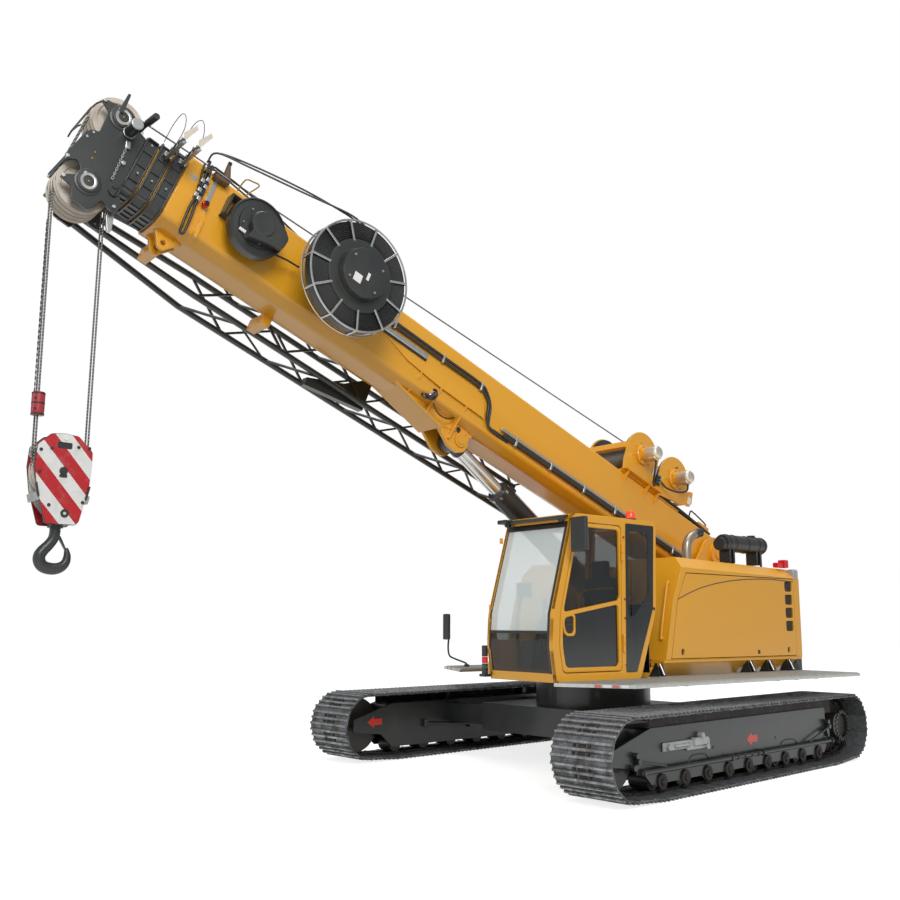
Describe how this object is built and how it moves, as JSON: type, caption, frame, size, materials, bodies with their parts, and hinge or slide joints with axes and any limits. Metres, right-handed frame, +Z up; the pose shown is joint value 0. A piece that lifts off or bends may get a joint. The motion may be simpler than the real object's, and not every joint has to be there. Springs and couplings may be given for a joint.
{
  "type": "telescopic crawler crane",
  "caption": "Crawler crane with extending tracks, slewing cab and housings, a telescoping boom on one luffing cylinder, winches, a stowed lattice jib and a hook block.",
  "frame": {"origin": "on the ground under the slewing axis", "axes": "+X from the slewing axis towards the boom head, +Y to the operator's left, +Z up"},
  "size_m": [9.8143, 4.8172, 6.2492],
  "materials": {
    "yellow_paint": "gloss enamel, lightly dusted",
    "charcoal_paint": "satin enamel",
    "track_steel": "worn bare steel",
    "gear_steel": "greased steel",
    "cast_weight": "satin enamel",
    "engine_paint": "satin enamel",
    "silver_metal": "ribbed bare metal",
    "tinted_glass": "clear tinted",
    "seat_fabric": "woven",
    "lamp_plastic": "moulded lens",
    "sheave_nylon": "cast nylon",
    "wire_rope": "greased strand",
    "over_red": "enamel",
    "reel_black": "satin enamel",
    "drum_steel": "rope-worn",
    "chrome_rod": "polished",
    "block_red": "striped enamel",
    "hook_black": "forged, painted"
  },
  "bodies": {
    "undercarriage": {"carbody": "charcoal_paint", "slew_ring": "gear_steel"},
    "crawler_left": {"crawler_frame_left": "charcoal_paint", "track_left": "track_steel", "running_gear_left": "gear_steel"},
    "crawler_right": {"crawler_frame_right": "charcoal_paint", "track_right": "track_steel", "running_gear_right": "gear_steel"},
    "upper_works": {"turntable": "yellow_paint", "counterweight": "cast_weight", "housing_left": "yellow_paint", "housing_right": "yellow_paint", "engine_block": "engine_paint", "exhaust_stack": "silver_metal", "air_cleaner": "charcoal_paint", "walkway_left": "silver_metal", "walkway_right": "silver_metal", "cab_shell": "yellow_paint", "cab_glass": "tinted_glass", "operator_seat": "seat_fabric", "mirrors": "charcoal_paint", "warning_lamps": "lamp_plastic"},
    "cab_door_leaf": {"cab_door": "yellow_paint", "cab_door_glass": "tinted_glass"},
    "side_door_left": {"housing_door_left": "yellow_paint"},
    "side_door_right": {"housing_door_right": "yellow_paint"},
    "boom_foot": {"boom_base": "yellow_paint", "winch_cradle": "yellow_paint", "winch_motors": "silver_metal", "lattice_jib": "charcoal_paint", "reel_brackets": "yellow_paint", "hoist_rope": "wire_rope"},
    "boom_second": {"boom_section_2": "yellow_paint"},
    "boom_third": {"boom_section_3": "yellow_paint"},
    "boom_tip": {"boom_section_4": "yellow_paint", "boom_head": "charcoal_paint"},
    "upper_sheaves": {"head_sheaves_upper": "sheave_nylon"},
    "lower_sheaves": {"head_sheaves_lower": "sheave_nylon"},
    "front_drum": {"winch_drum_front": "drum_steel"},
    "rear_drum": {"winch_drum_rear": "drum_steel"},
    "large_reel": {"cable_reel_large": "reel_black"},
    "small_reel": {"cable_reel_small": "reel_black"},
    "cylinder_rod": {"luff_rod": "chrome_rod"},
    "cylinder_barrel": {"luff_barrel": "charcoal_paint"},
    "hanging_ropes": {"rope_falls": "wire_rope", "overhoist_weight": "over_red"},
    "block": {"hook_block": "block_red"},
    "block_wheels": {"block_sheaves": "sheave_nylon"},
    "load_hook": {"hook": "hook_black"}
  },
  "joints": [
    {"name": "slew", "type": "hinge", "parent": "undercarriage", "child": "upper_works", "pos_m": [0, 0, 0], "axis": [0, 0, 1], "continuous": true},
    {"name": "crawler_left_retract", "type": "slide", "parent": "undercarriage", "child": "crawler_left", "axis": [-0.0779, 0.997, 0], "range_m": [-0.65, 0]},
    {"name": "crawler_right_retract", "type": "slide", "parent": "undercarriage", "child": "crawler_right", "axis": [0.0779, -0.997, 0], "range_m": [-0.65, 0]},
    {"name": "cab_door_hinge", "type": "hinge", "parent": "upper_works", "child": "cab_door_leaf", "pos_m": [1.04, 1.398, 0], "axis": [0, 0, 1], "range_deg": [0, 165]},
    {"name": "side_door_left_hinge", "type": "hinge", "parent": "upper_works", "child": "side_door_left", "pos_m": [0, 1.328, 2.215], "axis": [1, 0, 0], "range_deg": [0, 80]},
    {"name": "side_door_right_hinge", "type": "hinge", "parent": "upper_works", "child": "side_door_right", "pos_m": [0, -1.328, 2.215], "axis": [-1, 0, 0], "range_deg": [0, 80]},
    {"name": "boom_luff", "type": "hinge", "parent": "upper_works", "child": "boom_foot", "pos_m": [-2.08, 0, 2.57], "axis": [0, -1, 0], "range_deg": [-21.3, 58.7]},
    {"name": "luff_rod_pin", "type": "hinge", "parent": "boom_foot", "child": "cylinder_rod", "pos_m": [2.27103, 0, 3.63314], "axis": [0, -1, 0], "range_deg": [-1.1, 3]},
    {"name": "luff_barrel_slide", "type": "slide", "parent": "cylinder_rod", "child": "cylinder_barrel", "axis": [-0.818, 0, -0.5752], "range_m": [-0.6, 1.65]},
    {"name": "telescope_2", "type": "slide", "parent": "boom_foot", "child": "boom_second", "axis": [0.9317, 0, 0.3633], "range_m": [0, 7.2]},
    {"name": "telescope_3", "type": "slide", "parent": "boom_second", "child": "boom_third", "axis": [0.9317, 0, 0.3633], "range_m": [0, 7.2]},
    {"name": "telescope_4", "type": "slide", "parent": "boom_third", "child": "boom_tip", "axis": [0.9317, 0, 0.3633], "range_m": [0, 7.2]},
    {"name": "front_drum_turn", "type": "hinge", "parent": "boom_foot", "child": "front_drum", "pos_m": [-0.66181, 0, 3.77765], "axis": [0, -1, 0], "continuous": true},
    {"name": "rear_drum_turn", "type": "hinge", "parent": "boom_foot", "child": "rear_drum", "pos_m": [-1.30467, 0, 3.52701], "axis": [0, -1, 0], "continuous": true},
    {"name": "large_reel_turn", "type": "hinge", "parent": "boom_foot", "child": "large_reel", "pos_m": [4.12049, 0, 4.89087], "axis": [0, -1, 0], "continuous": true},
    {"name": "small_reel_turn", "type": "hinge", "parent": "boom_foot", "child": "small_reel", "pos_m": [5.03718, 0, 5.23754], "axis": [0, -1, 0], "continuous": true},
    {"name": "upper_sheaves_turn", "type": "hinge", "parent": "boom_tip", "child": "upper_sheaves", "pos_m": [6.25847, 0, 6.01423], "axis": [0, -1, 0], "continuous": true},
    {"name": "lower_sheaves_turn", "type": "hinge", "parent": "boom_tip", "child": "lower_sheaves", "pos_m": [6.52364, 0, 5.3341], "axis": [0, -1, 0], "continuous": true},
    {"name": "rope_swing", "type": "hinge", "parent": "boom_tip", "child": "hanging_ropes", "pos_m": [6.52364, 0, 5.3341], "axis": [0, -1, 0], "range_deg": [-58.7, 21.3]},
    {"name": "hook_hoist", "type": "slide", "parent": "hanging_ropes", "child": "block", "axis": [0, 0, -1], "range_m": [-0.14, 1.8], "deforming": ["rope_falls"]},
    {"name": "block_sheaves_turn", "type": "hinge", "parent": "block", "child": "block_wheels", "pos_m": [6.52364, 0, 2.8441], "axis": [0, -1, 0], "continuous": true},
    {"name": "hook_swivel", "type": "hinge", "parent": "block", "child": "load_hook", "pos_m": [6.52364, 0, 2.3341], "axis": [0, 0, 1], "continuous": true}
  ],
  "couplings": [
    {"joint": "luff_rod_pin", "follows": "boom_luff", "ratio": 0.05},
    {"joint": "luff_barrel_slide", "follows": "boom_luff", "m_per_rad": 1.6},
    {"joint": "rope_swing", "follows": "boom_luff", "ratio": -1},
    {"joint": "telescope_3", "follows": "telescope_2", "ratio": 1},
    {"joint": "telescope_4", "follows": "telescope_2", "ratio": 1}
  ]
}
